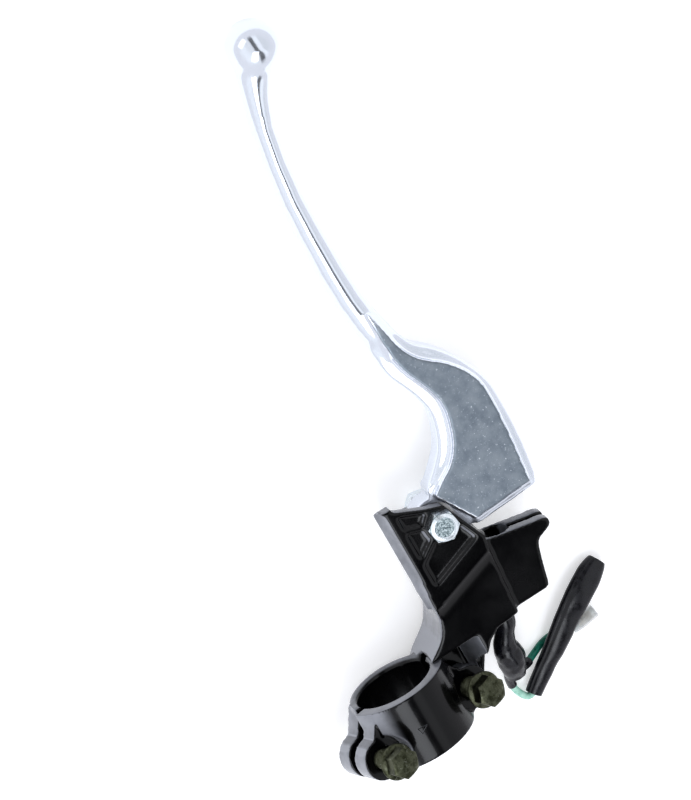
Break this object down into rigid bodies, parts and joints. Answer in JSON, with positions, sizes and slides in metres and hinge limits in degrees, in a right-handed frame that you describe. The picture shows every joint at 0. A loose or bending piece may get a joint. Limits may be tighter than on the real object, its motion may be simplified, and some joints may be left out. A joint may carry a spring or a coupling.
{
  "type": "motorcycle clutch lever",
  "caption": "Left-hand clutch lever: ball-ended alloy lever pivoting in a black split-clamp perch, with an adjuster bore, a plunger switch and its short sleeved lead.",
  "frame": {"origin": "on the handlebar's axis, inside the clamp", "axes": "+X inboard along the handlebar, +Y forward towards the lever, +Z along the lever's pivot, away from its nut"},
  "size_m": [0.2256, 0.0945, 0.0401],
  "materials": {
    "perch_paint": "gloss",
    "cap_paint": "gloss",
    "lever_alloy": "polished with satin faces",
    "bush_bronze": "satin",
    "pivot_zinc": "bright zinc plate",
    "nut_zinc": "bright zinc plate",
    "washer_steel": "satin",
    "clamp_bolt_steel": "olive passivated",
    "switch_plastic": "satin",
    "plunger_plastic": "satin",
    "spring_steel": "bright",
    "contact_brass": "bright",
    "plug_plastic": "matte",
    "screw_zinc": "bright zinc plate",
    "boot_rubber": "gloss",
    "wire_mint": "gloss",
    "wire_green": "gloss",
    "sleeve_vinyl": "gloss",
    "terminal_brass": "bright",
    "cover_vinyl": "translucent"
  },
  "bodies": {
    "perch": {"perch_body": "perch_paint", "clamp_cap": "cap_paint", "clamp_bolt_rear": "clamp_bolt_steel", "clamp_bolt_front": "clamp_bolt_steel", "pivot_bolt": "pivot_zinc", "pivot_nut": "nut_zinc", "thrust_washers": "washer_steel", "switch_housing": "switch_plastic", "plunger_spring": "spring_steel", "contact_front": "contact_brass", "contact_rear": "contact_brass", "switch_end_plug": "plug_plastic", "switch_screw": "screw_zinc", "lead_boot": "boot_rubber", "wire_long": "wire_mint", "wire_short": "wire_green", "lead_sleeve": "sleeve_vinyl", "bullet_terminal": "terminal_brass", "socket_terminal": "terminal_brass", "connector_cover": "cover_vinyl"},
    "lever": {"lever": "lever_alloy", "pivot_bush": "bush_bronze"},
    "plunger": {"switch_plunger": "plunger_plastic", "contact_bridge": "contact_brass"}
  },
  "joints": [
    {"name": "lever_pivot", "type": "hinge", "parent": "perch", "child": "lever", "pos_m": [-0.0476, 0.0332, 0], "axis": [0, 0, 1], "range_deg": [0, 16]},
    {"name": "plunger_slide", "type": "slide", "parent": "perch", "child": "plunger", "axis": [1, 0, 0], "range_m": [-0.0007, 0]}
  ],
  "couplings": [
    {"joint": "plunger_slide", "follows": "lever_pivot", "m_per_rad": -0.0024}
  ]
}
